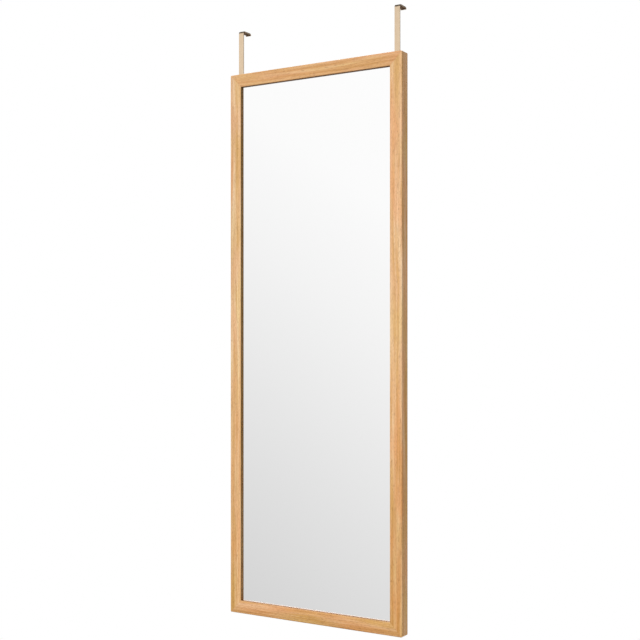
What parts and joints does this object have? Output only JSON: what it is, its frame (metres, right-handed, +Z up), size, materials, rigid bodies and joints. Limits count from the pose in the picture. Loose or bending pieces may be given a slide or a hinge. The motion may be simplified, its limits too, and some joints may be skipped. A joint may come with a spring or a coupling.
{
  "type": "over the door mirror",
  "caption": "Tall rectangular mirror in a mitred pale oak frame, hung over a door by flat bent steel hooks and closed at the back by a board under turn buttons.",
  "frame": {"origin": "midway between the two hooks, where the door's front face meets its top edge: the felt under the hooks rests on z = 0 and the back of the frame lies on y = 0", "axes": "+Z up, +X to the right seen from the front of the mirror, +Y from the mirror towards the door"},
  "size_m": [0.43, 0.0445, 1.3005],
  "materials": {
    "oak": "pale straight-grained oak, matt lacquer",
    "silvered_glass": "float glass silvered on its back, polished",
    "champagne_steel": "satin champagne lacquer on steel",
    "zinc_steel": "bright zinc plating",
    "nail_steel": "plain steel",
    "felt": "dark brown felt",
    "hardboard": "smooth brown hardboard",
    "corrugated_cardboard": "kraft corrugated cardboard",
    "safety_film": "polyethylene safety film"
  },
  "bodies": {
    "framed_mirror": {"stile_left": "oak", "stile_right": "oak", "rail_top": "oak", "rail_bottom": "oak", "corner_nails": "nail_steel", "mirror_glass": "silvered_glass", "safety_film": "safety_film", "filler_sheet": "corrugated_cardboard", "backing_board": "hardboard", "hook_left": "champagne_steel", "hook_right": "champagne_steel", "hook_pad_left": "felt", "hook_pad_right": "felt", "hook_screws": "champagne_steel", "turn_button_screws": "zinc_steel", "bumper_left": "felt", "bumper_right": "felt"},
    "turn_button_left_upper": {"turn_button_left_upper": "zinc_steel"},
    "turn_button_left_middle": {"turn_button_left_middle": "zinc_steel"},
    "turn_button_left_lower": {"turn_button_left_lower": "zinc_steel"},
    "turn_button_right_upper": {"turn_button_right_upper": "zinc_steel"},
    "turn_button_right_middle": {"turn_button_right_middle": "zinc_steel"},
    "turn_button_right_lower": {"turn_button_right_lower": "zinc_steel"},
    "turn_button_top": {"turn_button_top": "zinc_steel"},
    "turn_button_bottom": {"turn_button_bottom": "zinc_steel"}
  },
  "joints": [
    {"name": "turn_button_left_upper_turn", "type": "hinge", "parent": "framed_mirror", "child": "turn_button_left_upper", "pos_m": [-0.19825, -0.0096, -0.2575], "axis": [0, 1, 0], "range_deg": [-90, 90]},
    {"name": "turn_button_left_middle_turn", "type": "hinge", "parent": "framed_mirror", "child": "turn_button_left_middle", "pos_m": [-0.19825, -0.0096, -0.6975], "axis": [0, 1, 0], "range_deg": [-90, 90]},
    {"name": "turn_button_left_lower_turn", "type": "hinge", "parent": "framed_mirror", "child": "turn_button_left_lower", "pos_m": [-0.19825, -0.0096, -1.1375], "axis": [0, 1, 0], "range_deg": [-90, 90]},
    {"name": "turn_button_right_upper_turn", "type": "hinge", "parent": "framed_mirror", "child": "turn_button_right_upper", "pos_m": [0.19825, -0.0096, -0.2575], "axis": [0, 1, 0], "range_deg": [-90, 90]},
    {"name": "turn_button_right_middle_turn", "type": "hinge", "parent": "framed_mirror", "child": "turn_button_right_middle", "pos_m": [0.19825, -0.0096, -0.6975], "axis": [0, 1, 0], "range_deg": [-90, 90]},
    {"name": "turn_button_right_lower_turn", "type": "hinge", "parent": "framed_mirror", "child": "turn_button_right_lower", "pos_m": [0.19825, -0.0096, -1.1375], "axis": [0, 1, 0], "range_deg": [-90, 90]},
    {"name": "turn_button_top_turn", "type": "hinge", "parent": "framed_mirror", "child": "turn_button_top", "pos_m": [0, -0.0096, -0.11425], "axis": [0, 1, 0], "range_deg": [-90, 90]},
    {"name": "turn_button_bottom_turn", "type": "hinge", "parent": "framed_mirror", "child": "turn_button_bottom", "pos_m": [0, -0.0096, -1.28075], "axis": [0, 1, 0], "range_deg": [-90, 90]}
  ]
}
